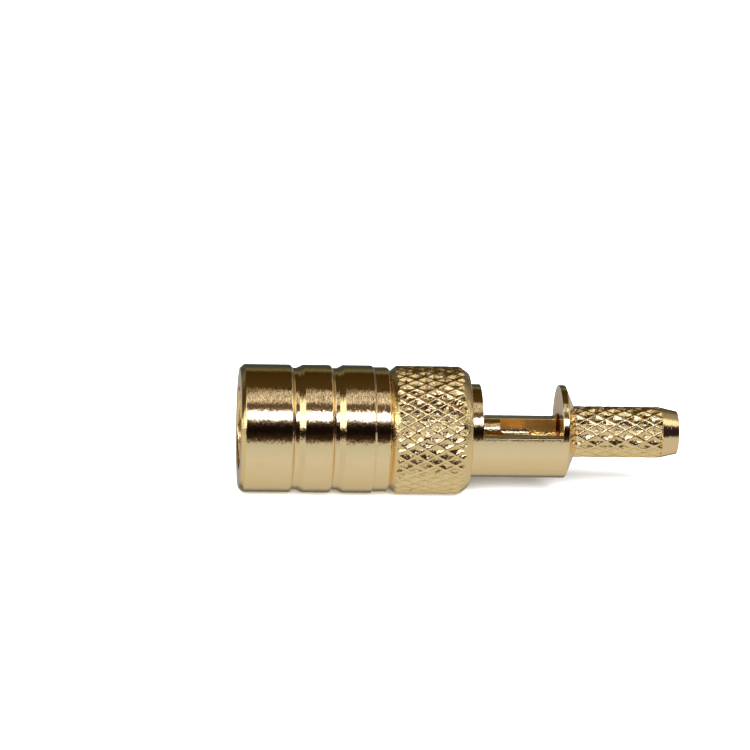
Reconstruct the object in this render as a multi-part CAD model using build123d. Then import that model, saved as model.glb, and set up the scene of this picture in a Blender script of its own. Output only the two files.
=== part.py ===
"""Push-on coaxial cable plug with a push-pull sleeve, a solder window and a knurled crimp tail.

X runs along the plug from the mating face towards the cable, Z points up through the solder window,
and the origin is the centre of the mating face. Sizes are millimetres.
"""
import os
from math import cos, hypot, pi, sin

from build123d import *

# Sleeve as a whole: front shell and knurled grip, which are flush with each other
sleeve_wall = 0.60
sleeve_travel = 1.2
stop_overlap = 0.45
stop_clearance = 0.05
running_clearance = 0.05
press_clearance = 0.01

# Front shell, outside
shell_length = 9.24
face_chamfer_length = 0.27
face_chamfer_depth = 0.25
groove_count = 2
first_groove = 3.11
groove_spacing = 2.46
groove_depth = 0.19
groove_front_run = 0.15
groove_floor_length = 0.26
groove_rear_run = 0.37
rear_land_length = 1.11
rear_land_drop = 0.10
rear_land_ramp = 0.12
seam_chamfer_length = 0.17
seam_chamfer_depth = 0.15

# Front shell, inside
mouth_length = 1.45
mouth_clearance = 0.165
mouth_edge = 0.10
thread_step = 0.20
thread_end_clearance = 0.10

# Knurled grip ring
grip_length = 4.94
grip_front_chamfer_length = 0.44
grip_front_chamfer_depth = 0.34
grip_rear_chamfer_length = 0.60
grip_rear_chamfer_depth = 0.41
grip_lip_length = 1.50
grip_rear_shoulder_round = 0.40
grip_rear_edge_round = 0.20

# Diamond knurl: raised crossing lines with pits between them
knurl_axial_pitch = 1.20
knurl_line_width = 0.11
knurl_depth = 0.13
grip_knurl_front_margin = 0.19
grip_knurl_rear_margin = 0.30
grip_knurl_count = 34
tail_knurl_front_margin = 0.15
tail_knurl_rear_margin = 1.06
tail_knurl_count = 14

# Slotted collet
collet_recess = 0.45
barrel_diameter = 3.75
barrel_depth = 4.75
finger_wall = 0.245
head_length = 0.75
head_height = 0.21
head_ramp = 0.22
entry_flare = 0.265
entry_length = 0.50
snap_height = 0.085
snap_length = 0.18
snap_ramp = 0.20
slot_count = 6
slot_width = 0.28
slot_length = 4.40
collet_flange_thickness = 0.80
collet_flange_clearance = 0.15
shank_length = 1.50

# Spring that holds the sleeve forward
wire_diameter = 0.45
spring_length = 5.45
spring_turns = 6
spring_inner_clearance = 0.315
spring_outer_clearance = 0.265
spring_seat_clearance = 0.01

# Body: journal, collar, solder window, cable flange and crimp tail
journal_wall = 0.45
journal_edge = 0.15
collar_step = 0.38
body_wall = 0.93
window_setback = 0.70
window_length = 4.91
window_floor = 0.25
flange_land = 0.39
flange_round = 0.07
cone_length = 0.55
tail_wall = 0.49
tail_length = 6.49
tail_taper_length = 1.17
tail_tip_wall = 0.23
tail_edge_round = 0.07
cable_bore_diameter = 2.20
cable_bore_edge = 0.07

# Insulating beads
nose_front = 2.80
nose_diameter = 2.48
nose_edge_round = 0.05
front_bead_length = 1.40
rear_bead_setback = 0.47

# Centre contact
tip_recess = 0.04
tip_wall = 0.25
tip_round = 0.10
tip_hole_diameter = 0.52
tip_hole_depth = 3.00
tip_hole_round = 0.05
stop_ring_diameter = 1.90
stop_ring_length = 0.70
contact_clearance = 0.02
stub_length = 1.24
cup_length = 1.96
cup_bore_diameter = 1.00
cup_wall = 0.23
cup_bore_depth = 2.20
cup_cut_round = 0.30

# Radii that follow from the sizes above
barrel_radius = barrel_diameter / 2
neck_radius = barrel_radius + finger_wall
head_radius = neck_radius + head_height
mouth_radius = head_radius + mouth_clearance
spring_radius = neck_radius + spring_inner_clearance + wire_diameter / 2
chamber_radius = spring_radius + wire_diameter / 2 + spring_outer_clearance
thread_radius = chamber_radius + thread_step
sleeve_radius = thread_radius + sleeve_wall
collet_flange_radius = chamber_radius - collet_flange_clearance
lip_bore_radius = collet_flange_radius - stop_overlap
journal_radius = lip_bore_radius - running_clearance
shank_bore_radius = journal_radius - journal_wall
body_radius = journal_radius + collar_step
body_bore_radius = body_radius - body_wall
bead_radius = body_bore_radius - press_clearance
cable_bore_radius = cable_bore_diameter / 2
tail_radius = cable_bore_radius + tail_wall
tip_hole_radius = tip_hole_diameter / 2
tip_radius = tip_hole_radius + tip_wall
stop_ring_radius = stop_ring_diameter / 2
cup_bore_radius = cup_bore_diameter / 2
rear_barrel_radius = cup_bore_radius + cup_wall

# Stations along X that follow from the sizes above
collet_flange_front = mouth_length + spring_length
collet_flange_rear = collet_flange_front + collet_flange_thickness
shank_end = collet_flange_rear + shank_length
grip_end = shell_length + grip_length
lip_end = collet_flange_rear + grip_lip_length
journal_end = lip_end + sleeve_travel + stop_clearance
window_start = grip_end + window_setback
window_end = window_start + window_length
cone_start = window_end + flange_land
cone_end = cone_start + cone_length
tail_end = cone_end + tail_length
front_bead_end = shank_end + front_bead_length
rear_bead_end = window_start - rear_bead_setback
stop_ring_start = front_bead_end - stop_ring_length
stub_end = window_start + stub_length
cup_end = stub_end + cup_length


def turned(*points):
    """A ring or rod turned about the X axis from (x, radius) corners."""
    outline = Polyline(*[(x, 0, radius) for x, radius in points], close=True)
    return revolve(make_face(outline), Axis.X, 360)


def rod(start, end, radius):
    """A plain round rod along X."""
    return turned((start, 0), (start, radius), (end, radius), (end, 0))


def edges_at(part, x, radius):
    """The round edges of a turned part that lie at one station and radius."""
    def on_circle(edge):
        point = edge @ 0
        return abs(point.X - x) < 1e-4 and abs(hypot(point.Y, point.Z) - radius) < 1e-4

    return [edge for edge in part.edges().filter_by(GeomType.CIRCLE) if on_circle(edge)]


def pit(x, angle, radius, half_length, half_width):
    """A four-sided pyramid that points inwards, its mouth drawn out above the surface."""
    mouth = 2.0
    top = radius + knurl_depth * (mouth - 1)
    out = Vector(0, cos(angle), sin(angle))
    along = Vector(0, -sin(angle), cos(angle))
    axis = Vector(1, 0, 0)
    tip = axis * x + out * (radius - knurl_depth)
    middle = axis * x + out * top
    corners = [
        middle + axis * half_length * mouth,
        middle + along * half_width * mouth,
        middle - axis * half_length * mouth,
        middle - along * half_width * mouth,
    ]
    sides = [Face(Wire.make_polygon([corners[i], corners[(i + 1) % 4], tip])) for i in range(4)]
    return Solid(Shell([Face(Wire.make_polygon(corners)), *sides]))


def knurl_pits(radius, start, end, count):
    """All pits of one knurled band, in staggered rows."""
    half_length = knurl_axial_pitch / 2
    half_width = pi * radius / count
    line_share = knurl_line_width / 2 * hypot(half_length, half_width) / (half_length * half_width)
    half_length_open = half_length * (1 - line_share)
    half_width_open = half_width * (1 - line_share)
    rows = round((end - start - 2 * half_length_open) / half_length) + 1
    first = (start + end) / 2 - (rows - 1) * half_length / 2
    pits = []
    for row in range(rows):
        for place in range(count):
            angle = 2 * pi * (place + row % 2 / 2) / count
            x = first + row * half_length
            pits.append(pit(x, angle, radius, half_length_open, half_width_open))
    return pits


def make_front_shell():
    """Shell with its grooves, the narrow mouth, the spring chamber and the threaded rear."""
    outside = [(0, sleeve_radius - face_chamfer_depth), (face_chamfer_length, sleeve_radius)]
    for number in range(groove_count):
        start = first_groove + number * groove_spacing
        floor = start + groove_front_run
        floor_end = floor + groove_floor_length
        outside.append((start, sleeve_radius))
        outside.append((floor, sleeve_radius - groove_depth))
        outside.append((floor_end, sleeve_radius - groove_depth))
        outside.append((floor_end + groove_rear_run, sleeve_radius))
    land = shell_length - rear_land_length
    land_radius = sleeve_radius - rear_land_drop
    outside.append((land, sleeve_radius))
    outside.append((land + rear_land_ramp, land_radius))
    outside.append((shell_length - seam_chamfer_length, land_radius))
    outside.append((shell_length, land_radius - seam_chamfer_depth))
    thread_start = collet_flange_rear - thread_end_clearance
    inside = [
        (shell_length, thread_radius),
        (thread_start, thread_radius),
        (thread_start, chamber_radius),
        (mouth_length, chamber_radius),
        (mouth_length, mouth_radius),
        (mouth_edge, mouth_radius),
        (0, mouth_radius + mouth_edge),
    ]
    return turned(*outside, *inside)


def make_knurled_sleeve():
    """Grip ring: threaded front spigot, inner lip that meets the collet's flange, knurl outside."""
    spigot_radius = thread_radius - press_clearance
    rear_bore = body_radius + running_clearance
    rear_shoulder = grip_end - grip_rear_chamfer_length
    rear_edge_radius = sleeve_radius - grip_rear_chamfer_depth
    ring = turned(
        (collet_flange_rear, spigot_radius),
        (shell_length, spigot_radius),
        (shell_length, sleeve_radius - grip_front_chamfer_depth),
        (shell_length + grip_front_chamfer_length, sleeve_radius),
        (rear_shoulder, sleeve_radius),
        (grip_end, rear_edge_radius),
        (grip_end, rear_bore),
        (lip_end, rear_bore),
        (lip_end, lip_bore_radius),
        (collet_flange_rear, lip_bore_radius),
    )
    ring = fillet(edges_at(ring, rear_shoulder, sleeve_radius), grip_rear_shoulder_round)
    ring = fillet(edges_at(ring, grip_end, rear_edge_radius), grip_rear_edge_round)
    knurl_start = shell_length + grip_knurl_front_margin
    knurl_end = grip_end - grip_knurl_rear_margin
    return ring - knurl_pits(sleeve_radius, knurl_start, knurl_end, grip_knurl_count)


def make_slotted_collet():
    """Six fingers with an outer head and an inner snap ridge, a flange and a shank for the body."""
    front = collet_recess
    head_end = front + head_length
    snap_start = front + entry_length
    snap_end = snap_start + snap_length
    snap_radius = barrel_radius - snap_height
    shank_radius = shank_bore_radius - press_clearance
    nose_bore = nose_diameter / 2 + press_clearance
    floor = front + barrel_depth
    collet = turned(
        (front, head_radius),
        (head_end, head_radius),
        (head_end + head_ramp, neck_radius),
        (collet_flange_front, neck_radius),
        (collet_flange_front, collet_flange_radius),
        (collet_flange_rear, collet_flange_radius),
        (collet_flange_rear, shank_radius),
        (shank_end, shank_radius),
        (shank_end, nose_bore),
        (floor, nose_bore),
        (floor, barrel_radius),
        (snap_end + snap_ramp, barrel_radius),
        (snap_end, snap_radius),
        (snap_start, snap_radius),
        (front, barrel_radius + entry_flare),
    )
    for number in range(slot_count):
        slot = Pos(front + slot_length / 2, 0, head_radius) * Box(slot_length, slot_width, sleeve_radius)
        collet -= Rot(90 + number * 360 / slot_count, 0, 0) * slot
    return collet


def make_rear_body():
    """Body in one piece, from the journal under the sleeve to the end of the crimp tail."""
    end_radius = cable_bore_radius + tail_tip_wall
    outside = [
        (collet_flange_rear, journal_radius),
        (journal_end, journal_radius),
        (journal_end, body_radius - journal_edge),
        (journal_end + journal_edge, body_radius),
        (cone_start, body_radius),
        (cone_end, tail_radius),
        (tail_end - tail_taper_length, tail_radius),
        (tail_end, end_radius),
    ]
    inside = [
        (tail_end, cable_bore_radius + cable_bore_edge),
        (tail_end - cable_bore_edge, cable_bore_radius),
        (window_end, cable_bore_radius),
        (window_end, body_bore_radius),
        (shank_end, body_bore_radius),
        (shank_end, shank_bore_radius),
        (collet_flange_rear, shank_bore_radius),
    ]
    body = turned(*outside, *inside)
    body = fillet(edges_at(body, cone_start, body_radius), flange_round)
    body = fillet(edges_at(body, tail_end, end_radius), tail_edge_round)
    window_height = 2 * body_radius
    window = Pos(window_start + window_length / 2, 0, window_floor + window_height / 2)
    body -= window * Box(window_length, 2 * window_height, window_height)
    knurl_start = cone_end + tail_knurl_front_margin
    knurl_end = tail_end - tail_knurl_rear_margin
    return body - knurl_pits(tail_radius, knurl_start, knurl_end, tail_knurl_count)


def make_front_insulator():
    """White bead: long nose through the collet, wide rear with a pocket for the contact's ring."""
    nose_radius = nose_diameter / 2
    tip_bore = tip_radius + contact_clearance
    pocket = stop_ring_radius + contact_clearance
    bead = turned(
        (nose_front, nose_radius),
        (shank_end, nose_radius),
        (shank_end, bead_radius),
        (front_bead_end, bead_radius),
        (front_bead_end, pocket),
        (stop_ring_start, pocket),
        (stop_ring_start, tip_bore),
        (nose_front, tip_bore),
    )
    return fillet(edges_at(bead, nose_front, nose_radius), nose_edge_round)


def make_rear_insulator():
    """White bead in the collar, behind the contact's ring."""
    bore = rear_barrel_radius + contact_clearance
    return turned(
        (front_bead_end, bead_radius),
        (rear_bead_end, bead_radius),
        (rear_bead_end, bore),
        (front_bead_end, bore),
    )


def make_centre_contact():
    """Contact: socket at the front, stop ring between the beads, half-cut solder cup at the rear."""
    front = nose_front + tip_recess
    contact = turned(
        (front, 0),
        (front, tip_radius),
        (stop_ring_start, tip_radius),
        (stop_ring_start, stop_ring_radius),
        (front_bead_end, stop_ring_radius),
        (front_bead_end, rear_barrel_radius),
        (cup_end, rear_barrel_radius),
        (cup_end, 0),
    )
    contact = fillet(edges_at(contact, front, tip_radius), tip_round)
    contact -= rod(front, front + tip_hole_depth, tip_hole_radius)
    contact = fillet(edges_at(contact, front, tip_hole_radius), tip_hole_round)
    contact -= rod(cup_end - cup_bore_depth, cup_end, cup_bore_radius)
    cut_length = 2 * cup_length
    cut_height = 2 * rear_barrel_radius
    cut = Pos(stub_end + cut_length / 2, 0, cut_height / 2)
    cutter = cut * Box(cut_length, 2 * cut_height, cut_height)
    corner = cutter.edges().filter_by(Axis.Y).sort_by(Axis.Z)[:2].sort_by(Axis.X)[0]
    return contact - fillet(corner, cup_cut_round)


def make_lock_spring():
    """Coil of round wire between the shell's mouth and the collet's flange."""
    inset = wire_diameter / 2 + spring_seat_clearance
    height = spring_length - 2 * inset
    start = (mouth_length + inset, 0, 0)
    line = Helix(height / spring_turns, height, spring_radius, center=start, direction=(1, 0, 0))
    wire = Plane(origin=line @ 0, z_dir=line % 0) * Circle(wire_diameter / 2)
    return sweep(wire, path=line, is_frenet=True)


pieces = {
    "front_shell": make_front_shell(),
    "knurled_sleeve": make_knurled_sleeve(),
    "slotted_collet": make_slotted_collet(),
    "rear_body": make_rear_body(),
    "front_insulator": make_front_insulator(),
    "rear_insulator": make_rear_insulator(),
    "centre_contact": make_centre_contact(),
    "lock_spring": make_lock_spring(),
}

os.makedirs("parts", exist_ok=True)
for name, piece in pieces.items():
    export_step(piece, f"parts/{name}.step")
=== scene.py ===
from math import atan2, ceil, cos, hypot, pi, radians, remainder, sin, tan

import bmesh
import bpy
from mathutils import Matrix, Vector


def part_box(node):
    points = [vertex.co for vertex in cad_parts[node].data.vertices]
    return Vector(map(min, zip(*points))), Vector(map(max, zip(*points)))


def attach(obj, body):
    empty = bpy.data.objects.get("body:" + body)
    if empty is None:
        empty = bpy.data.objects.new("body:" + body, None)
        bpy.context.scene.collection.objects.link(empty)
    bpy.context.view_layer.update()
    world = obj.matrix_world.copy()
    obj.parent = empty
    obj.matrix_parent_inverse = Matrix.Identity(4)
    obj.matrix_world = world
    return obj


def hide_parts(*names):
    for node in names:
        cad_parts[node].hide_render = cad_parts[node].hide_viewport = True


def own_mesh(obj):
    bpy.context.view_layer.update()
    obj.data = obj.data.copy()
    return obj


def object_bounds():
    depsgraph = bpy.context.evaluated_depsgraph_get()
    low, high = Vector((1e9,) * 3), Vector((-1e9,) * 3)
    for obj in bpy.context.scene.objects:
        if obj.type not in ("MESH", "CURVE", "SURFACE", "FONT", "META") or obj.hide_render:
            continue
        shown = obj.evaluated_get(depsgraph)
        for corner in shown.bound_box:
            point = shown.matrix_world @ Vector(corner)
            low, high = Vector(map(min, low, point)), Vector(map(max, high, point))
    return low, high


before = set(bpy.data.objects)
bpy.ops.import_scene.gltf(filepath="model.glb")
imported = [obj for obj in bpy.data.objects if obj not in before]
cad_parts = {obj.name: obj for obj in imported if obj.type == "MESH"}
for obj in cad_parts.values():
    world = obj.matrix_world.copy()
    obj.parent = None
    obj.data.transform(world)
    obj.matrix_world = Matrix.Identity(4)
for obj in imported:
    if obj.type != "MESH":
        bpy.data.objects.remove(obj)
cad_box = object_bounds()

# Rear body: one piece of brass, turned on a lathe from the journal under the sleeve to the crimp
# tail, knurled on the tail, with a window milled through the collar so that the cable's conductor
# can be soldered. The whole piece is then gold plated.
mm = 0.001  # sizes are in millimetres, and this turns them into metres
around = 192  # sides of each turned form
outside = 4  # a radius beyond every surface of the plug

journal_start, tail_end = (corner.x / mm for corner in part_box("rear_body"))
body_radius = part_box("rear_body")[1].z / mm
journal_radius = body_radius - 0.38
journal_end = journal_start + 2.75
shank_end = journal_start + 1.5
shank_bore = journal_radius - 0.45
body_bore = body_radius - 0.93
window_start = journal_start + 7.18
window_end = window_start + 4.91
window_floor = 0.25
window_edge = 0.035
cone_start = window_end + 0.39
cone_end = cone_start + 0.55
tail_radius = 1.59
taper_start = tail_end - 1.17
tip_radius = 1.33
tail_knurl_end = tail_end - 1.06
cable_bore = 1.10
knurl_pitch = 1.20
knurl_line = 0.10
knurl_depth = 0.13
knurl_chatter = 0.26
chatter_scale = 2600
chatter_on_crests = 0.08
tail_diamonds = 14
tail_pit = (22.62, 18.9)


def rounded(corners):
    """The points of a closed outline of (x, radius, edge round) corners, in millimetres."""
    points = []
    for number, (x, radius, edge) in enumerate(corners):
        here = Vector((x, radius))
        back = (Vector(corners[number - 1][:2]) - here).normalized()
        ahead = (Vector(corners[(number + 1) % len(corners)][:2]) - here).normalized()
        if not edge:
            points.append(here)
            continue
        arc_step = radians(12)
        half = back.angle(ahead) / 2
        centre = here + (back + ahead).normalized() * edge / sin(half)
        start = here + back * edge / tan(half) - centre
        end = here + ahead * edge / tan(half) - centre
        first = atan2(start.y, start.x)
        sweep = remainder(atan2(end.y, end.x) - first, 2 * pi)
        steps = max(2, ceil(abs(sweep) / arc_step))
        for step in range(steps + 1):
            angle = first + sweep * step / steps
            points.append(centre + edge * Vector((cos(angle), sin(angle))))
    return points


def turned(name, corners):
    """A closed form turned about X from an outline of (x, radius, edge round) corners."""
    build = bmesh.new()
    rings = []
    for x, radius in rounded(corners):
        if radius < 1e-6:
            rings.append([build.verts.new((x * mm, 0, 0))])
            continue
        angles = [2 * pi * step / around for step in range(around)]
        ring = [(x * mm, radius * mm * sin(a), radius * mm * cos(a)) for a in angles]
        rings.append([build.verts.new(place) for place in ring])
    for last, ring in zip([rings[-1]] + rings[:-1], rings):
        if len(last) == len(ring) == 1:
            continue
        for step in range(around):
            after = step + 1
            ends = [last[step % len(last)], last[after % len(last)]]
            ends += [ring[after % len(ring)], ring[step % len(ring)]]
            build.faces.new(tuple(dict.fromkeys(ends)))
    return made(name, build)


def made(name, build):
    """An object from a finished bmesh, with its faces outwards and shaded smooth."""
    bmesh.ops.recalc_face_normals(build, faces=build.faces)
    for face in build.faces:
        face.smooth = True
    mesh = bpy.data.meshes.new(name)
    build.to_mesh(mesh)
    build.free()
    piece = bpy.data.objects.new(name, mesh)
    bpy.context.scene.collection.objects.link(piece)
    return piece


def block(name, low, high, edge=0):
    """A milling cutter's block between two corners, with its lower front edge rounded."""
    build = bmesh.new()
    bmesh.ops.create_cube(build, size=1)
    for vertex in build.verts:
        for axis in range(3):
            side = high[axis] if vertex.co[axis] > 0 else low[axis]
            vertex.co[axis] = side * mm
    if edge:
        lower = [e for e in build.edges if all(v.co.z < (low[2] + 1e-3) * mm for v in e.verts)]
        corner = [e for e in lower if all(v.co.x < (low[0] + 1e-3) * mm for v in e.verts)]
        bmesh.ops.bevel(build, geom=corner, offset=edge * mm, segments=8, profile=0.5, affect="EDGES")
    return made(name, build)


def settle(piece):
    """Turns a piece's modifiers into plain mesh."""
    finished = piece.evaluated_get(bpy.context.evaluated_depsgraph_get())
    mesh = bpy.data.meshes.new_from_object(finished)
    piece.modifiers.clear()
    piece.data = mesh


def combine(piece, tool, operation):
    """Joins, cuts or trims a solid with another one, which is used up."""
    change = piece.modifiers.new("combine", "BOOLEAN")
    change.operation = operation
    change.solver = "MANIFOLD"
    change.object = tool
    settle(piece)
    bpy.data.objects.remove(tool)


def diamond(half_length, half_width):
    """One cell of the knurl, laid flat: half of each line round it and a four-sided pit inside.

    Each ring is a share of the cell and a height. The line's edge is rounded over the first three.
    """
    reach = knurl_line / 2 * hypot(half_length, half_width) / (half_length * half_width)
    rings = [
        (1.0, 0.0),
        (1 - 0.8 * reach, -0.007),
        (1 - 1.8 * reach, -0.035),
        (0.25, -0.9 * knurl_depth),
    ]
    side_steps = 3
    tips = [(half_length, 0), (0, half_width), (-half_length, 0), (0, -half_width)]
    build = bmesh.new()
    loops = []
    for share, height in rings:
        loop = []
        for side in range(4):
            for step in range(side_steps):
                t = step / side_steps
                x = tips[side][0] * (1 - t) + tips[(side + 1) % 4][0] * t
                y = tips[side][1] * (1 - t) + tips[(side + 1) % 4][1] * t
                loop.append(build.verts.new((x * share * mm, y * share * mm, height * mm)))
        loops.append(loop)
    for outer, inner in zip(loops, loops[1:]):
        for step in range(len(outer)):
            after = (step + 1) % len(outer)
            build.faces.new((outer[step], outer[after], inner[after], inner[step]))
    floor = build.verts.new((0, 0, -knurl_depth * mm))
    for step in range(len(loops[-1])):
        build.faces.new((loops[-1][step], loops[-1][(step + 1) % len(loops[-1])], floor))
    return made("knurl_diamond", build)


def knurl_tree():
    """Node tree that lays one diamond in staggered rows, wraps them round X and roughens the pits."""
    tree = bpy.data.node_groups.new("diamond_knurl", "GeometryNodeTree")
    interface = tree.interface
    interface.new_socket("Diamond", in_out="INPUT", socket_type="NodeSocketGeometry")
    for name in ("Radius", "Start", "Turn", "Row step", "Depth", "Unevenness"):
        interface.new_socket(name, in_out="INPUT", socket_type="NodeSocketFloat")
    for name in ("Rows", "Around"):
        interface.new_socket(name, in_out="INPUT", socket_type="NodeSocketInt")
    interface.new_socket("Finish", in_out="INPUT", socket_type="NodeSocketMaterial")
    interface.new_socket("Knurl", in_out="OUTPUT", socket_type="NodeSocketGeometry")
    given = tree.nodes.new("NodeGroupInput").outputs

    def maths(operation, first, second=0.0):
        node = tree.nodes.new("ShaderNodeMath")
        node.operation = operation
        for socket, value in zip(node.inputs, (first, second)):
            if isinstance(value, (int, float)):
                socket.default_value = value
            else:
                tree.links.new(value, socket)
        return node.outputs[0]

    index = tree.nodes.new("GeometryNodeInputIndex").outputs[0]
    row = maths("FLOOR", maths("DIVIDE", index, given["Around"]))
    column = maths("MODULO", index, given["Around"])
    stagger = maths("MULTIPLY", maths("MODULO", row, 2), 0.5)
    turn = maths("DIVIDE", maths("MULTIPLY", given["Radius"], 2 * pi), given["Around"])
    spot = tree.nodes.new("ShaderNodeCombineXYZ")
    tree.links.new(maths("ADD", given["Start"], maths("MULTIPLY", row, given["Row step"])), spot.inputs[0])
    tree.links.new(maths("MULTIPLY", maths("ADD", column, stagger), turn), spot.inputs[1])
    points = tree.nodes.new("GeometryNodePoints")
    tree.links.new(maths("MULTIPLY", given["Rows"], given["Around"]), points.inputs["Count"])
    tree.links.new(spot.outputs[0], points.inputs["Position"])
    copies = tree.nodes.new("GeometryNodeInstanceOnPoints")
    tree.links.new(points.outputs[0], copies.inputs["Points"])
    tree.links.new(given["Diamond"], copies.inputs["Instance"])
    real = tree.nodes.new("GeometryNodeRealizeInstances")
    tree.links.new(copies.outputs[0], real.inputs[0])

    flat = tree.nodes.new("ShaderNodeSeparateXYZ")
    tree.links.new(tree.nodes.new("GeometryNodeInputPosition").outputs[0], flat.inputs[0])
    angle = maths("ADD", maths("DIVIDE", flat.outputs[1], given["Radius"]), given["Turn"])
    radius = maths("ADD", given["Radius"], flat.outputs[2])
    wrapped = tree.nodes.new("ShaderNodeCombineXYZ")
    tree.links.new(flat.outputs[0], wrapped.inputs[0])
    tree.links.new(maths("MULTIPLY", radius, maths("SINE", angle)), wrapped.inputs[1])
    tree.links.new(maths("MULTIPLY", radius, maths("COSINE", angle)), wrapped.inputs[2])
    wrap = tree.nodes.new("GeometryNodeSetPosition")
    tree.links.new(real.outputs[0], wrap.inputs["Geometry"])
    tree.links.new(wrapped.outputs[0], wrap.inputs["Position"])
    merge = tree.nodes.new("GeometryNodeMergeByDistance")
    merge.inputs["Distance"].default_value = 2e-6
    tree.links.new(wrap.outputs[0], merge.inputs[0])

    place = tree.nodes.new("GeometryNodeInputPosition").outputs[0]
    chatter = tree.nodes.new("ShaderNodeTexNoise")
    chatter.inputs["Scale"].default_value = chatter_scale
    chatter.inputs["Detail"].default_value = 2
    tree.links.new(place, chatter.inputs["Vector"])

    def vectors(operation, first, second=None, scale=None):
        node = tree.nodes.new("ShaderNodeVectorMath")
        node.operation = operation
        tree.links.new(first, node.inputs[0])
        if isinstance(second, tuple):
            node.inputs[1].default_value = second
        elif second:
            tree.links.new(second, node.inputs[1])
        if scale:
            tree.links.new(scale, node.inputs["Scale"])
        return node.outputs["Value" if operation == "LENGTH" else "Vector"]

    from_axis = vectors("LENGTH", vectors("MULTIPLY", place, (0, 1, 1)))
    sunk = maths("DIVIDE", maths("SUBTRACT", given["Radius"], from_axis), given["Depth"])
    sway = maths("MULTIPLY", maths("ADD", sunk, chatter_on_crests), given["Unevenness"])
    uneven = tree.nodes.new("GeometryNodeSetPosition")
    tree.links.new(merge.outputs[0], uneven.inputs["Geometry"])
    centred = vectors("SUBTRACT", chatter.outputs["Color"], (0.5, 0.5, 0.5))
    tree.links.new(vectors("SCALE", centred, scale=sway), uneven.inputs["Offset"])
    finish = tree.nodes.new("GeometryNodeSetMaterial")
    tree.links.new(uneven.outputs[0], finish.inputs["Geometry"])
    tree.links.new(given["Finish"], finish.inputs["Material"])
    output = tree.nodes.new("NodeGroupOutput")
    tree.links.new(finish.outputs[0], output.inputs[0])
    return tree


def knurled_rod(name, radius, start, end, diamonds, pit, finish):
    """A solid rod along X with the diamond knurl all over it, cut off square at both ends.

    One pit's middle is at the given x and turn, which is in degrees from +Z towards +Y.
    """
    row_step = knurl_pitch / 2
    first_row = pit[0] - knurl_pitch * ceil((pit[0] - start) / knurl_pitch + 0.5)
    rows = ceil((end - first_row) / row_step) + 2
    rod = diamond(row_step, pi * radius / diamonds)
    rod.name = name
    knurl = rod.modifiers.new("knurl", "NODES")
    knurl.node_group = knurling
    sizes = {
        "Radius": radius * mm,
        "Start": first_row * mm,
        "Turn": radians(pit[1]),
        "Row step": row_step * mm,
        "Depth": knurl_depth * mm,
        "Unevenness": knurl_chatter * mm,
        "Rows": rows,
        "Around": diamonds,
        "Finish": finish,
    }
    for item in knurling.interface.items_tree:
        if item.in_out == "INPUT" and item.name in sizes:
            knurl[item.identifier] = sizes[item.name]
    settle(rod)
    build = bmesh.new()
    build.from_mesh(rod.data)
    for x, side in ((start, -1), (end, 1)):
        everything = build.verts[:] + build.edges[:] + build.faces[:]
        bmesh.ops.bisect_plane(
            build, geom=everything, plane_co=(x * mm, 0, 0), plane_no=(side, 0, 0), clear_outer=True
        )
    bmesh.ops.holes_fill(build, edges=[e for e in build.edges if e.is_boundary])
    bmesh.ops.recalc_face_normals(build, faces=build.faces)
    build.to_mesh(rod.data)
    build.free()
    return rod


def soften(piece, chosen, width):
    """Rounds the sharp edges for which chosen(middle of the edge in millimetres) holds."""
    build = bmesh.new()
    build.from_mesh(piece.data)
    edges = []
    for edge in build.edges:
        middle = (edge.verts[0].co + edge.verts[1].co) / 2 / mm
        if edge.is_manifold and edge.calc_face_angle() > radians(30) and chosen(middle):
            edges.append(edge)
    bmesh.ops.bevel(build, geom=edges, offset=width * mm, segments=2, profile=0.5, affect="EDGES")
    build.to_mesh(piece.data)
    build.free()


def polish(piece):
    """Gives each turned face the exact normals of its turned form, so that reflections run true."""
    crease = radians(28)
    across_limit = 0.045
    same_slope = cos(radians(20))
    mesh = piece.data
    mesh.shade_smooth()
    mesh.set_sharp_from_angle(angle=crease)
    normals = [Vector(corner.vector) for corner in mesh.corner_normals]
    spots = [v.co.copy() for v in mesh.vertices]
    slopes = {}
    turned_faces = []
    for face in mesh.polygons:
        centre, normal = face.center, face.normal
        radius = hypot(centre.y, centre.z)
        across = abs(normal.z * centre.y - normal.y * centre.z) / max(radius, 1e-9)
        if across > across_limit:
            continue
        outward = (normal.y * centre.y + normal.z * centre.z) / max(radius, 1e-9)
        slope = Vector((normal.x, outward)).normalized()
        turned_faces.append((face, slope))
        for vertex in face.vertices:
            slopes.setdefault(vertex, []).append(slope)
    for face, slope in turned_faces:
        for loop, vertex in zip(face.loop_indices, face.vertices):
            near = [other for other in slopes[vertex] if other.dot(slope) > same_slope]
            mean = sum(near, Vector((0, 0))).normalized()
            spot = spots[vertex]
            radius = hypot(spot.y, spot.z)
            if radius > 1e-6:
                normals[loop] = Vector((mean.x, mean.y * spot.y / radius, mean.y * spot.z / radius))
    mesh.normals_split_custom_set(normals)


def finish_with(piece, material):
    """Leaves one material on the whole piece."""
    piece.data.materials.clear()
    piece.data.materials.append(material)
    for face in piece.data.polygons:
        face.material_index = 0


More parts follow.
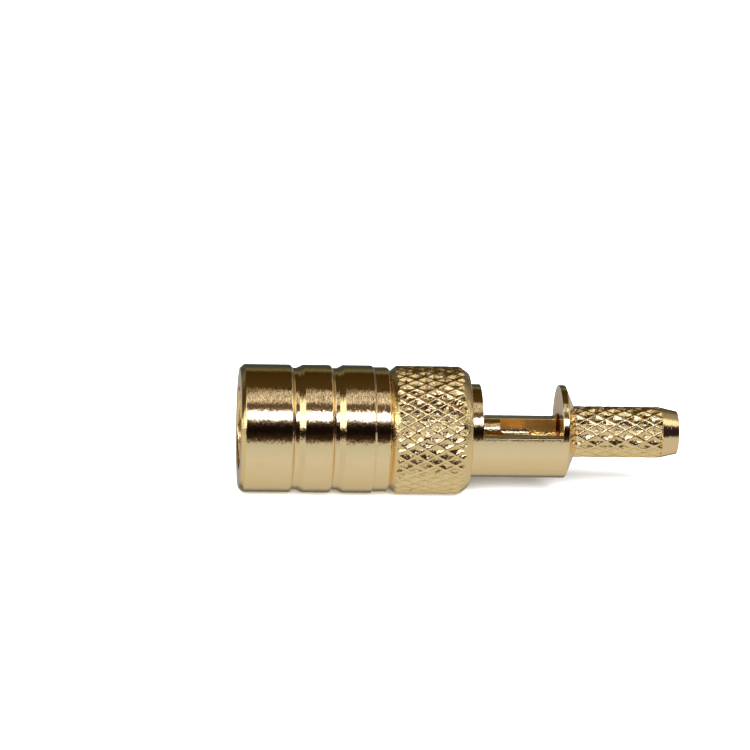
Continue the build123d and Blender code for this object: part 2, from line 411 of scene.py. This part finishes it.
def polished_metal(name, colour=(0.90, 0.70, 0.385), roughness=0.06, cuts=(), cut_grain=20e-6):
    """Bright turned or plated metal: lathe lines, tool strokes, a fine grain and faint blotches.

    It is rougher in the cuts, each of which has a first and last x, an outer radius, a colour and
    how metallic it still looks. The depths of the bumps are in metres.
    """
    cut_roughness = 0.13
    cut_edge = 0.01
    material = bpy.data.materials.new(name)
    material.use_nodes = True
    nodes, links = material.node_tree.nodes, material.node_tree.links
    shader = nodes["Principled BSDF"]
    shader.inputs["Metallic"].default_value = 1.0

    def noise(vector, scale, detail, stretch=(1, 1, 1)):
        mapping = nodes.new("ShaderNodeMapping")
        mapping.inputs["Scale"].default_value = stretch
        links.new(vector, mapping.inputs["Vector"])
        node = nodes.new("ShaderNodeTexNoise")
        node.inputs["Scale"].default_value = scale
        node.inputs["Detail"].default_value = detail
        links.new(mapping.outputs[0], node.inputs["Vector"])
        return node.outputs["Fac"]

    def bump(height, distance, below=None):
        node = nodes.new("ShaderNodeBump")
        node.inputs["Distance"].default_value = distance
        links.new(height, node.inputs["Height"])
        if below:
            links.new(below, node.inputs["Normal"])
        return node.outputs["Normal"]

    def spread(value, low, high, to_low, to_high):
        node = nodes.new("ShaderNodeMapRange")
        links.new(value, node.inputs["Value"])
        sizes = {"From Min": low, "From Max": high, "To Min": to_low, "To Max": to_high}
        for socket, size in sizes.items():
            if isinstance(size, (int, float)):
                node.inputs[socket].default_value = size
            else:
                links.new(size, node.inputs[socket])
        return node.outputs[0]

    def maths(operation, first, second):
        node = nodes.new("ShaderNodeMath")
        node.operation = operation
        links.new(first, node.inputs[0])
        links.new(second, node.inputs[1])
        return node.outputs[0]

    def tinted(amount, first, second):
        node = nodes.new("ShaderNodeMix")
        node.data_type = "RGBA"
        for socket, shade in (("A", first), ("B", second)):
            if isinstance(shade, tuple):
                node.inputs[socket].default_value = (*shade, 1)
            else:
                links.new(shade, node.inputs[socket])
        links.new(amount, node.inputs["Factor"])
        return node.outputs["Result"]

    place = nodes.new("ShaderNodeTexCoord").outputs["Object"]
    split = nodes.new("ShaderNodeSeparateXYZ")
    links.new(place, split.inputs[0])
    along = split.outputs[0]
    square = nodes.new("ShaderNodeCombineXYZ")
    links.new(split.outputs[1], square.inputs[0])
    links.new(split.outputs[2], square.inputs[1])
    length = nodes.new("ShaderNodeVectorMath")
    length.operation = "LENGTH"
    links.new(square.outputs[0], length.inputs[0])
    radius = length.outputs["Value"]
    lathe = nodes.new("ShaderNodeCombineXYZ")
    links.new(along, lathe.inputs[0])
    links.new(radius, lathe.inputs[1])

    lines = bump(noise(lathe.outputs[0], 16000, 2), 1.5e-6)
    strokes = bump(noise(place, 8000, 2, (1, 0.28, 0.28)), 15e-6, lines)
    normal = bump(noise(place, 9000, 3), 3.5e-6, strokes)
    deeper = (colour[0] * 0.97, colour[1] * 0.95, colour[2] * 0.88)
    shade = tinted(noise(place, 900, 3), colour, deeper)
    sheen = spread(noise(place, 2500, 2), 0, 1, roughness * 0.6, roughness * 1.5)
    cut = None
    # Each cut's colour replaces the base colour in its zone; on the body, the window trough's colour is a
    # painted reflection and the cable bore's is painted shade.
    for first, last, outer, cut_colour, cut_metal in cuts:
        after = spread(along, (first - cut_edge) * mm, (first + cut_edge) * mm, 0, 1)
        before = spread(along, (last - cut_edge) * mm, (last + cut_edge) * mm, 1, 0)
        within = spread(radius, (outer - cut_edge) * mm, (outer + cut_edge) * mm, 1, 0)
        zone = maths("MULTIPLY", maths("MULTIPLY", after, before), within)
        cut = maths("MAXIMUM", cut, zone) if cut else zone
        shade = tinted(zone, shade, cut_colour)
        if cut_metal < 1:
            links.new(spread(zone, 0, 1, 1, cut_metal), shader.inputs["Metallic"])
    if cut:
        normal = bump(maths("MULTIPLY", noise(place, 9000, 2), cut), cut_grain, normal)
        sheen = spread(cut, 0, 1, sheen, cut_roughness)
    links.new(normal, shader.inputs["Normal"])
    links.new(shade, shader.inputs["Base Color"])
    links.new(sheen, shader.inputs["Roughness"])
    return material


cut_gold = (0.90, 0.68, 0.33)
# Painted reflection: the deep orange of the window's milled trough stands in for gold mirroring gold
# inside it.
trough_painted_reflection = (0.88, 0.56, 0.17)
# Painted shade: the dark red-brown inside the cable bore stands in for the shade deep in that recess.
bore_painted_shade = (0.50, 0.21, 0.07)
body_gold = polished_metal("gold_plated_body", cuts=[
    (window_start, window_end, body_bore + 0.30, trough_painted_reflection, 0.97),
    (cone_end, tail_knurl_end, tail_radius + 0.05, cut_gold, 1.0),
    (window_end, tail_end, cable_bore + 0.04, bore_painted_shade, 1.0),
])
knurling = knurl_tree()

cone_slope = (tail_radius - body_radius) / (cone_end - cone_start)
cone_foot_radius = 1.30
cone_foot = cone_end + (cone_foot_radius - tail_radius) / cone_slope
rear_body = turned("window_body", [
    (journal_start, 0, 0),
    (journal_start, journal_radius, 0.04),
    (journal_end, journal_radius, 0),
    (journal_end, body_radius - 0.15, 0.03),
    (journal_end + 0.15, body_radius, 0.03),
    (cone_start, body_radius, 0.09),
    (cone_foot, cone_foot_radius, 0),
    (cone_foot, 0, 0),
])

taper_slope = (tip_radius - tail_radius) / (tail_end - taper_start)
proud = 0.30
tail_limit = turned("tail_limit", [
    (cone_start, 0, 0),
    (cone_start, tail_radius + proud, 0),
    (taper_start + proud / taper_slope, tail_radius + proud, 0),
    (tail_end - 0.1, tip_radius - taper_slope * 0.1, 0),
    (tail_end - 0.1, 0, 0),
])
tail = knurled_rod(
    "tail", tail_radius, cone_start - 0.1, tail_knurl_end + 0.2, tail_diamonds, tail_pit, body_gold
)
combine(tail, tail_limit, "INTERSECT")
plain_start = tail_radius + taper_slope * (tail_knurl_end - taper_start) + 0.001
plain_tip = turned("plain_tip", [
    (tail_knurl_end, 0, 0),
    (tail_knurl_end, plain_start, 0),
    (tail_end, tip_radius + 0.001, 0.07),
    (tail_end, 0, 0),
])
combine(tail, plain_tip, "UNION")
combine(rear_body, tail, "UNION")

bore_edge = 0.07
bore_shoulder = window_end - 0.002
bore = turned("bore", [
    (journal_start - 1, 0, 0),
    (journal_start - 1, shank_bore, 0),
    (shank_end, shank_bore, 0),
    (shank_end, body_bore, 0),
    (bore_shoulder, body_bore, 0),
    (bore_shoulder, cable_bore, 0.03),
    (tail_end - bore_edge, cable_bore, 0),
    (tail_end + 3 * bore_edge, cable_bore + 4 * bore_edge, 0),
    (tail_end + 3 * bore_edge, 0, 0),
])
window = block("window", (window_start, -outside, window_floor), (window_end, outside, outside))
combine(bore, window, "UNION")
combine(rear_body, bore, "DIFFERENCE")


def at_window(middle):
    """Whether an edge is on top of the window's long walls or on the outside of its end walls."""
    near = 0.01
    between_ends = window_start + near < middle.x < window_end - near
    on_long_wall = between_ends and abs(middle.z - window_floor) < near
    at_end = min(abs(middle.x - window_start), abs(middle.x - window_end)) < near
    outer = middle.z > window_floor and hypot(middle.y, middle.z) > body_bore + 0.1
    return on_long_wall or at_end and outer


soften(rear_body, at_window, window_edge)
polish(rear_body)
finish_with(rear_body, body_gold)
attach(rear_body, "plug_body")
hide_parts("rear_body")

# Slotted collet: springy gold-plated bronze, turned and then sawn into six fingers whose inner
# ridge snaps over the mating barrel. Its shank is pressed into the front of the body, and its
# flange is the stop that the sleeve rests against.
collet_start, flange_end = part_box("slotted_collet")[0].x / mm, journal_start
flange_start = flange_end - 0.80
flange_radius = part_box("slotted_collet")[1].z / mm
barrel_radius = 1.875
neck_radius = barrel_radius + 0.245
head_radius = neck_radius + 0.21
head_end = collet_start + 0.75
snap_start = collet_start + 0.50
barrel_end = collet_start + 4.75
nose_bore = 1.25
slot_count = 6
slot_width = 0.28
slot_length = 4.40
press_play = 0.01

collet = turned("finger_collet", [
    (collet_start, head_radius, 0.05),
    (head_end, head_radius, 0.03),
    (head_end + 0.22, neck_radius, 0.05),
    (flange_start, neck_radius, 0),
    (flange_start, flange_radius, 0.04),
    (flange_end, flange_radius, 0.04),
    (flange_end, shank_bore - press_play, 0),
    (shank_end, shank_bore - press_play, 0.05),
    (shank_end, nose_bore, 0),
    (barrel_end, nose_bore, 0.02),
    (barrel_end, barrel_radius, 0),
    (snap_start + 0.38, barrel_radius, 0.05),
    (snap_start + 0.18, barrel_radius - 0.085, 0.05),
    (snap_start, barrel_radius - 0.085, 0.05),
    (collet_start, barrel_radius + 0.265, 0.03),
])
for number in range(slot_count):
    low = (collet_start - 1, -slot_width / 2, 0.5)
    high = (collet_start + slot_length, slot_width / 2, outside)
    saw = block("saw", low, high)
    turn = 2 * pi * number / slot_count + pi / 2
    for vertex in saw.data.vertices:
        y, z = vertex.co.y, vertex.co.z
        vertex.co.y, vertex.co.z = y * cos(turn) - z * sin(turn), y * sin(turn) + z * cos(turn)
    combine(collet, saw, "DIFFERENCE")
polish(collet)
finish_with(collet, polished_metal("gold_plated_collet", (0.90, 0.68, 0.35), 0.10))
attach(collet, "plug_body")
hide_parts("slotted_collet")

# Insulating beads: two white fluoropolymer rings, machined from rod. The front one reaches through
# the collet as a long nose round the contact's tip, and both are pressed into the body's bore.
nose_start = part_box("front_insulator")[0].x / mm
nose_radius = nose_bore - press_play
front_bead_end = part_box("front_insulator")[1].x / mm
rear_bead_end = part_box("rear_insulator")[1].x / mm
bead_radius = body_bore - press_play
stop_ring_radius = 0.95
stop_ring_start = front_bead_end - 0.70
socket_radius = 0.51
contact_radius = 0.73
gap = 0.02


def fluoropolymer(name):
    """White, slightly waxy plastic with a faint haze and the fine grain of its cut faces."""
    material = bpy.data.materials.new(name)
    material.use_nodes = True
    nodes, links = material.node_tree.nodes, material.node_tree.links
    shader = nodes["Principled BSDF"]
    shader.inputs["Roughness"].default_value = 0.42
    shader.inputs["Subsurface Weight"].default_value = 0.15
    shader.inputs["Subsurface Radius"].default_value = (0.0006, 0.0006, 0.0005)
    place = nodes.new("ShaderNodeTexCoord").outputs["Object"]
    haze = nodes.new("ShaderNodeTexNoise")
    haze.inputs["Scale"].default_value = 2200
    haze.inputs["Detail"].default_value = 3
    links.new(place, haze.inputs["Vector"])
    tint = nodes.new("ShaderNodeMix")
    tint.data_type = "RGBA"
    tint.inputs["A"].default_value = (0.86, 0.85, 0.82, 1)
    tint.inputs["B"].default_value = (0.78, 0.76, 0.71, 1)
    links.new(haze.outputs["Fac"], tint.inputs["Factor"])
    links.new(tint.outputs["Result"], shader.inputs["Base Color"])
    grain = nodes.new("ShaderNodeBump")
    grain.inputs["Distance"].default_value = 4e-6
    links.new(haze.outputs["Fac"], grain.inputs["Height"])
    links.new(grain.outputs["Normal"], shader.inputs["Normal"])
    return material


white_plastic = fluoropolymer("white_insulator")
front_bead = turned("nose_bead", [
    (nose_start, nose_radius, 0.06),
    (shank_end, nose_radius, 0),
    (shank_end, bead_radius, 0.05),
    (front_bead_end, bead_radius, 0),
    (front_bead_end, stop_ring_radius + gap, 0),
    (stop_ring_start, stop_ring_radius + gap, 0),
    (stop_ring_start, socket_radius + gap, 0),
    (nose_start, socket_radius + gap, 0.03),
])
rear_bead = turned("collar_bead", [
    (front_bead_end, bead_radius, 0),
    (rear_bead_end, bead_radius, 0.05),
    (rear_bead_end, contact_radius + gap, 0.03),
    (front_bead_end, contact_radius + gap, 0),
])
for bead, node in ((front_bead, "front_insulator"), (rear_bead, "rear_insulator")):
    polish(bead)
    finish_with(bead, white_plastic)
    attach(bead, "plug_body")
    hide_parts(node)

# Centre contact: gold-plated brass pin, drilled at the front as the socket for the mating pin. A
# ring between the beads holds it, and its rear end is a half-open cup that the wire is soldered in.
tip_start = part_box("centre_contact")[0].x / mm
cup_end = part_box("centre_contact")[1].x / mm
cup_start = cup_end - 1.96
cup_bore = 0.50
cup_depth = 2.2
cup_edge = 0.03
mill_radius = 0.30
tip_hole = 0.26
tip_depth = 3

contact = turned("cup_contact", [
    (tip_start + tip_depth, 0, 0),
    (tip_start + tip_depth, tip_hole, 0),
    (tip_start, tip_hole, 0.05),
    (tip_start, socket_radius, 0.10),
    (stop_ring_start, socket_radius, 0),
    (stop_ring_start, stop_ring_radius, 0.03),
    (front_bead_end, stop_ring_radius, 0),
    (front_bead_end, contact_radius, 0),
    (cup_end, contact_radius, 0.04),
    (cup_end, cup_bore, 0.03),
    (cup_end - cup_depth, cup_bore, 0),
    (cup_end - cup_depth, 0, 0),
])
mill = block("mill", (cup_start, -outside, 0), (cup_end + 2, outside, outside), mill_radius)
combine(contact, mill, "DIFFERENCE")
soften(contact, lambda middle: middle.x > cup_start and abs(middle.z) < 0.01, cup_edge)
polish(contact)
contact_cuts = [(cup_start - 1.4, cup_end + 1, outside, cut_gold, 1.0)]
finish_with(contact, polished_metal("gold_plated_contact", (0.92, 0.70, 0.36), cuts=contact_cuts))
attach(contact, "plug_body")
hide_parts("centre_contact")

# Spring: a coil of drawn spring-steel wire, hidden between the shell's mouth and the collet's
# flange. It pushes the sleeve forward and is squeezed when the sleeve is pulled back.
wire_radius = 0.225
spring_turns = 6
spring_start, spring_end = (corner.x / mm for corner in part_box("lock_spring"))
spring_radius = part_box("lock_spring")[1].z / mm - wire_radius


def coil_tree():
    """Node tree that winds a round wire into a coil along X."""
    tree = bpy.data.node_groups.new("wound_wire", "GeometryNodeTree")
    interface = tree.interface
    for name in ("Turns", "Coil radius", "Start", "Length", "Wire radius"):
        interface.new_socket(name, in_out="INPUT", socket_type="NodeSocketFloat")
    interface.new_socket("Finish", in_out="INPUT", socket_type="NodeSocketMaterial")
    interface.new_socket("Coil", in_out="OUTPUT", socket_type="NodeSocketGeometry")
    given = tree.nodes.new("NodeGroupInput").outputs
    spiral = tree.nodes.new("GeometryNodeCurveSpiral")
    spiral.inputs["Resolution"].default_value = 48
    tree.links.new(given["Turns"], spiral.inputs["Rotations"])
    tree.links.new(given["Coil radius"], spiral.inputs["Start Radius"])
    tree.links.new(given["Coil radius"], spiral.inputs["End Radius"])
    tree.links.new(given["Length"], spiral.inputs["Height"])
    section = tree.nodes.new("GeometryNodeCurvePrimitiveCircle")
    section.inputs["Resolution"].default_value = 20
    tree.links.new(given["Wire radius"], section.inputs["Radius"])
    wire = tree.nodes.new("GeometryNodeCurveToMesh")
    wire.inputs["Fill Caps"].default_value = True
    tree.links.new(spiral.outputs[0], wire.inputs["Curve"])
    tree.links.new(section.outputs[0], wire.inputs["Profile Curve"])
    shift = tree.nodes.new("ShaderNodeCombineXYZ")
    tree.links.new(given["Start"], shift.inputs[0])
    lay = tree.nodes.new("GeometryNodeTransform")
    lay.inputs["Rotation"].default_value = (0, pi / 2, 0)
    tree.links.new(wire.outputs[0], lay.inputs["Geometry"])
    tree.links.new(shift.outputs[0], lay.inputs["Translation"])
    real = tree.nodes.new("GeometryNodeRealizeInstances")
    tree.links.new(lay.outputs[0], real.inputs[0])
    finish = tree.nodes.new("GeometryNodeSetMaterial")
    tree.links.new(real.outputs[0], finish.inputs["Geometry"])
    tree.links.new(given["Finish"], finish.inputs["Material"])
    output = tree.nodes.new("NodeGroupOutput")
    tree.links.new(finish.outputs[0], output.inputs[0])
    return tree


spring = made("sleeve_spring", bmesh.new())
spring_steel = polished_metal("spring_steel", (0.55, 0.55, 0.57), 0.28)
winding = spring.modifiers.new("winding", "NODES")
winding.node_group = coil_tree()
coil_sizes = {
    "Turns": float(spring_turns),
    "Coil radius": spring_radius * mm,
    "Start": (spring_start + wire_radius) * mm,
    "Length": (spring_end - spring_start - 2 * wire_radius) * mm,
    "Wire radius": wire_radius * mm,
    "Finish": spring_steel,
}
for item in winding.node_group.interface.items_tree:
    if item.in_out == "INPUT":
        winding[item.identifier] = coil_sizes[item.name]
settle(spring)
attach(spring, "plug_body")
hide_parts("lock_spring")
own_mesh(spring)

# Front shell: the polished, gold-plated brass front half of the sleeve, turned with two narrow
# grooves and a lower land at the rear. Its narrow mouth surrounds the collet's tips, and it screws
# onto the grip ring.
shell_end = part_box("front_shell")[1].x / mm
sleeve_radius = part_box("front_shell")[1].z / mm
mouth_radius = head_radius + 0.165
mouth_edge = 0.10
chamber_radius = 3.15
thread_radius = chamber_radius + 0.20
land_radius = sleeve_radius - 0.10
mouth_length = 1.45
groove_depth = 0.19
groove_floor_start, groove_floor_end, groove_end = 0.15, 0.41, 0.78
first_groove = 3.11
groove_spacing = 2.46
land_start = shell_end - 1.11
face_chamfer = 0.27

shell_outline = [(0, sleeve_radius - 0.25, 0.05), (face_chamfer, sleeve_radius, 0.12)]
for number in range(2):
    groove = first_groove + number * groove_spacing
    shell_outline += [
        (groove, sleeve_radius, 0.16),
        (groove + groove_floor_start, sleeve_radius - groove_depth, 0.13),
        (groove + groove_floor_end, sleeve_radius - groove_depth, 0.10),
        (groove + groove_end, sleeve_radius, 0.12),
    ]
shell_outline += [
    (land_start, sleeve_radius, 0.025),
    (land_start + 0.12, land_radius, 0.02),
    (shell_end - 0.17, land_radius, 0.06),
    (shell_end, land_radius - 0.15, 0.03),
    (shell_end, thread_radius, 0),
    (flange_end - 0.10, thread_radius, 0),
    (flange_end - 0.10, chamber_radius, 0),
    (mouth_length, chamber_radius, 0),
    (mouth_length, mouth_radius, 0.03),
    (mouth_edge, mouth_radius, 0.03),
    (0, mouth_radius + mouth_edge, 0.03),
]
shell = turned("grooved_shell", shell_outline)
polish(shell)
shell_cuts = [(-1, face_chamfer + 0.02, outside, cut_gold, 1.0)]
finish_with(shell, polished_metal("gold_plated_shell", cuts=shell_cuts, cut_grain=4e-6))
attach(shell, "coupling_sleeve")
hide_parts("front_shell")

# Grip ring: the gold-plated brass rear half of the sleeve, diamond knurled before its ends were
# chamfered. Its inner lip meets the collet's flange, and pulling it back frees the fingers.
grip_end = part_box("knurled_sleeve")[1].x / mm
grip_diamonds = 34
grip_pit = (11.91, 2.05)
lip_bore = journal_radius + 0.05
rear_bore = body_radius + 0.05
above_crests = 0.002

grip_cuts = [(shell_end, grip_end + 1, outside, cut_gold, 1.0)]
grip_gold = polished_metal("gold_plated_grip", cuts=grip_cuts)
grip = knurled_rod(
    "diamond_grip", sleeve_radius, flange_end - 0.2, grip_end + 0.3, grip_diamonds, grip_pit, grip_gold
)
grip_limit = turned("grip_limit", [
    (flange_end, thread_radius - press_play, 0),
    (shell_end, thread_radius - press_play, 0),
    (shell_end, sleeve_radius - 0.34, 0.03),
    (shell_end + 0.44, sleeve_radius + above_crests, 0.05),
    (grip_end - 0.60, sleeve_radius + above_crests, 0.40),
    (grip_end, sleeve_radius - 0.41, 0.20),
    (grip_end, rear_bore, 0.05),
    (flange_end + 1.5, rear_bore, 0),
    (flange_end + 1.5, lip_bore, 0.03),
    (flange_end, lip_bore, 0.03),
])
combine(grip, grip_limit, "INTERSECT")
polish(grip)
finish_with(grip, grip_gold)
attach(grip, "coupling_sleeve")
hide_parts("knurled_sleeve")

# Floor: a plain sheet of pale paper under the plug, far larger than the view. The gold doesn't
# mirror it, because the studio below holds what the photographed table shows in the gold.
floor_reach = 6
floor_build = bmesh.new()
bmesh.ops.create_grid(floor_build, x_segments=1, y_segments=1, size=floor_reach)
for vertex in floor_build.verts:
    vertex.co.z = cad_box[0][2]
floor = made("floor", floor_build)
paper = bpy.data.materials.new("pale_paper")
paper.use_nodes = True
paper.node_tree.nodes["Principled BSDF"].inputs["Base Color"].default_value = (0.92, 0.92, 0.92, 1)
paper.node_tree.nodes["Principled BSDF"].inputs["Roughness"].default_value = 0.9
finish_with(floor, paper)
floor.visible_glossy = False

# Studio light: the surroundings as the polished sleeve mirrors them, in bands round X. An angle of
# 0 degrees is level with the plug in front, 90 overhead and -90 below. Below is the pale table, in
# front a dark room with one bright strip, above it a mottled lamp grid and overhead a dim ceiling.
# What lies towards either end differs, and shows in the chamfers and grooves.
world = bpy.data.worlds.new("studio")
bpy.context.scene.world = world
world.use_nodes = True
nodes, links = world.node_tree.nodes, world.node_tree.links
middle_bands = [
    (-180, (0.10, 0.11, 0.12)),
    (-166, (0.40, 0.38, 0.36)),
    (-140, (0.13, 0.12, 0.10)),
    (-122, (0.56, 0.54, 0.49)),
    (-92, (0.66, 0.64, 0.61)),
    (-44, (0.72, 0.73, 0.77)),
    (-24, (0.66, 0.70, 0.75)),
    (-12, (0.60, 0.62, 0.67)),
    (-9, (0.22, 0.18, 0.15)),
    (-4, (0.040, 0.022, 0.012)),
    (8, (0.006, 0.004, 0.004)),
    (19, (0.010, 0.006, 0.006)),
    (26, (0.09, 0.07, 0.06)),
    (31, (0.8, 0.8, 1.0)),
    (33, (4.0, 4.3, 6.0)),
    (42, (4.0, 4.3, 6.0)),
    (45, (0.5, 0.45, 0.5)),
    (48, (0.15, 0.11, 0.10)),
    (60, (0.11, 0.08, 0.05)),
    (64, (0.62, 0.57, 0.59)),
    (72, (0.66, 0.63, 0.66)),
    (83, (0.42, 0.38, 0.35)),
    (90, (0.09, 0.06, 0.03)),
    (98, (0.07, 0.045, 0.015)),
    (136, (0.05, 0.028, 0.007)),
    (145, (0.18, 0.17, 0.11)),
    (154, (0.09, 0.09, 0.06)),
    (166, (0.05, 0.06, 0.06)),
    (180, (0.10, 0.11, 0.12)),
]
mating_side_bands = [
    (-180, (0.45, 0.44, 0.42)),
    (-90, (0.66, 0.64, 0.61)),
    (-12, (0.66, 0.68, 0.72)),
    (-6, (0.16, 0.12, 0.10)),
    (0, (0.02, 0.012, 0.01)),
    (12, (0.02, 0.012, 0.01)),
    (18, (1.0, 0.95, 0.9)),
    (22, (2.2, 2.2, 2.2)),
    (46, (2.2, 2.2, 2.2)),
    (51, (1.5, 1.6, 1.6)),
    (75, (1.3, 1.4, 1.3)),
    (83, (0.30, 0.26, 0.18)),
    (92, (0.08, 0.05, 0.02)),
    (136, (0.06, 0.04, 0.02)),
    (146, (0.20, 0.19, 0.14)),
    (166, (0.08, 0.08, 0.08)),
    (180, (0.45, 0.44, 0.42)),
]
cable_side_bands = [
    (-180, (0.50, 0.48, 0.46)),
    (-90, (0.66, 0.64, 0.61)),
    (-14, (0.62, 0.64, 0.68)),
    (-6, (0.10, 0.07, 0.06)),
    (0, (0.03, 0.02, 0.02)),
    (24, (0.03, 0.015, 0.025)),
    (48, (0.05, 0.03, 0.045)),
    (58, (1.20, 1.20, 1.10)),
    (80, (1.30, 1.30, 1.20)),
    (92, (0.40, 0.38, 0.34)),
    (132, (0.30, 0.28, 0.24)),
    (142, (0.10, 0.09, 0.07)),
    (166, (0.12, 0.12, 0.12)),
    (180, (0.50, 0.48, 0.46)),
]


def world_maths(operation, first, second=0.0):
    """A sum with values or the outputs of other nodes."""
    node = nodes.new("ShaderNodeMath")
    node.operation = operation
    for socket, value in zip(node.inputs, (first, second)):
        if isinstance(value, (int, float)):
            socket.default_value = value
        else:
            links.new(value, socket)
    return node.outputs[0]


def world_spread(value, low, high, to_low, to_high):
    """A smooth step between two levels."""
    node = nodes.new("ShaderNodeMapRange")
    node.interpolation_type = "SMOOTHSTEP"
    links.new(value, node.inputs["Value"])
    sizes = {"From Min": low, "From Max": high, "To Min": to_low, "To Max": to_high}
    for socket, size in sizes.items():
        node.inputs[socket].default_value = size
    return node.outputs[0]


def world_noise(along, round_about):
    """Noise over the surroundings, with how fine it is along X and round it."""
    node = nodes.new("ShaderNodeTexNoise")
    node.inputs["Scale"].default_value = 1
    node.inputs["Detail"].default_value = 1
    spot = nodes.new("ShaderNodeCombineXYZ")
    links.new(world_maths("MULTIPLY", axial, along), spot.inputs[0])
    links.new(world_maths("MULTIPLY", turn, round_about), spot.inputs[1])
    links.new(spot.outputs[0], node.inputs["Vector"])
    return node.outputs["Fac"]


def world_ramp(bands):
    """The colours of one list of bands, by the angle round X."""
    ramp = nodes.new("ShaderNodeValToRGB")
    links.new(turn_share, ramp.inputs[0])
    stops = ramp.color_ramp.elements
    stops[0].color = (*bands[0][1], 1)
    stops[-1].color = (*bands[-1][1], 1)
    for angle, colour in bands[1:-1]:
        stops.new((angle + 180) / 360).color = (*colour, 1)
    return ramp.outputs[0]


def world_mix(kind, amount, first, second):
    """One colour blended into another."""
    node = nodes.new("ShaderNodeMix")
    node.data_type = "RGBA"
    node.blend_type = kind
    links.new(amount, node.inputs["Factor"])
    links.new(first, node.inputs["A"])
    links.new(second, node.inputs["B"])
    return node.outputs["Result"]


parts = nodes.new("ShaderNodeSeparateXYZ")
links.new(nodes.new("ShaderNodeTexCoord").outputs["Generated"], parts.inputs[0])
axial = parts.outputs[0]
turn = world_maths("ARCTAN2", parts.outputs[2], world_maths("MULTIPLY", parts.outputs[1], -1))

# The edges of the bright strip are ragged, and the lamp grid above it is mottled.
grid = world_noise(13, 6)
ragged = world_maths("MULTIPLY", world_maths("SUBTRACT", world_noise(30, 9), 0.5), radians(20))
ragged = world_maths("MULTIPLY", ragged, world_spread(turn, radians(14), radians(24), 0, 1))
ragged = world_maths("MULTIPLY", ragged, world_spread(turn, radians(50), radians(64), 1, 0))
turn_share = world_maths("ADD", world_maths("DIVIDE", world_maths("ADD", turn, ragged), 2 * pi), 0.5)
lamps = world_spread(grid, 0.44, 0.56, 0.06, 2.2)
lamp_zone = world_maths(
    "MULTIPLY",
    world_spread(turn, radians(50), radians(62), 0, 1),
    world_spread(turn, radians(90), radians(100), 1, 0),
)
surroundings = world_mix("MULTIPLY", lamp_zone, world_ramp(middle_bands), lamps)
to_mating_side = world_spread(axial, -0.60, -0.30, 1, 0)
to_cable_side = world_spread(axial, 0.25, 0.48, 0, 1)
surroundings = world_mix("MIX", to_mating_side, surroundings, world_ramp(mating_side_bands))
surroundings = world_mix("MIX", to_cable_side, surroundings, world_ramp(cable_side_bands))
links.new(surroundings, nodes["Background"].inputs["Color"])

# Soft key light: a very wide lamp in front and above, which whitens the table, drops the shadow
# behind the plug and doesn't show in the gold.
key_data = bpy.data.lights.new("soft_key", "SUN")
key_data.angle = radians(60)
key_data.energy = 17
key = bpy.data.objects.new("soft_key", key_data)
bpy.context.scene.collection.objects.link(key)
key.rotation_euler = (radians(60), 0, 0)
key.visible_glossy = False

# Camera: a long lens from the front and a little above and to the left, rolled slightly, as the
# photograph was taken.
camera_data = bpy.data.cameras.new("camera")
camera_data.lens = 192
camera_data.sensor_width = 36
camera_data.clip_start = 0.01
camera = bpy.data.objects.new("camera", camera_data)
bpy.context.scene.collection.objects.link(camera)
azimuth, elevation, roll = radians(5.07), radians(14.30), radians(1.966)
distance = 246.2 * mm
target = Vector((8.305, 0, 3.455)) * mm
back = Vector((-sin(azimuth) * cos(elevation), -cos(azimuth) * cos(elevation), sin(elevation)))
right = Vector((cos(azimuth), -sin(azimuth), 0))
up = right.cross(-back)
right, up = right * cos(roll) + up * sin(roll), up * cos(roll) - right * sin(roll)
camera.location = target + back * distance
basis = [[right[i], up[i], back[i]] for i in range(3)]
camera.rotation_mode = "QUATERNION"
camera.rotation_quaternion = Matrix(basis).to_quaternion()
bpy.context.scene.camera = camera

# The colours are shown as they are, with no film-like curve.
bpy.context.scene.view_settings.view_transform = "Standard"
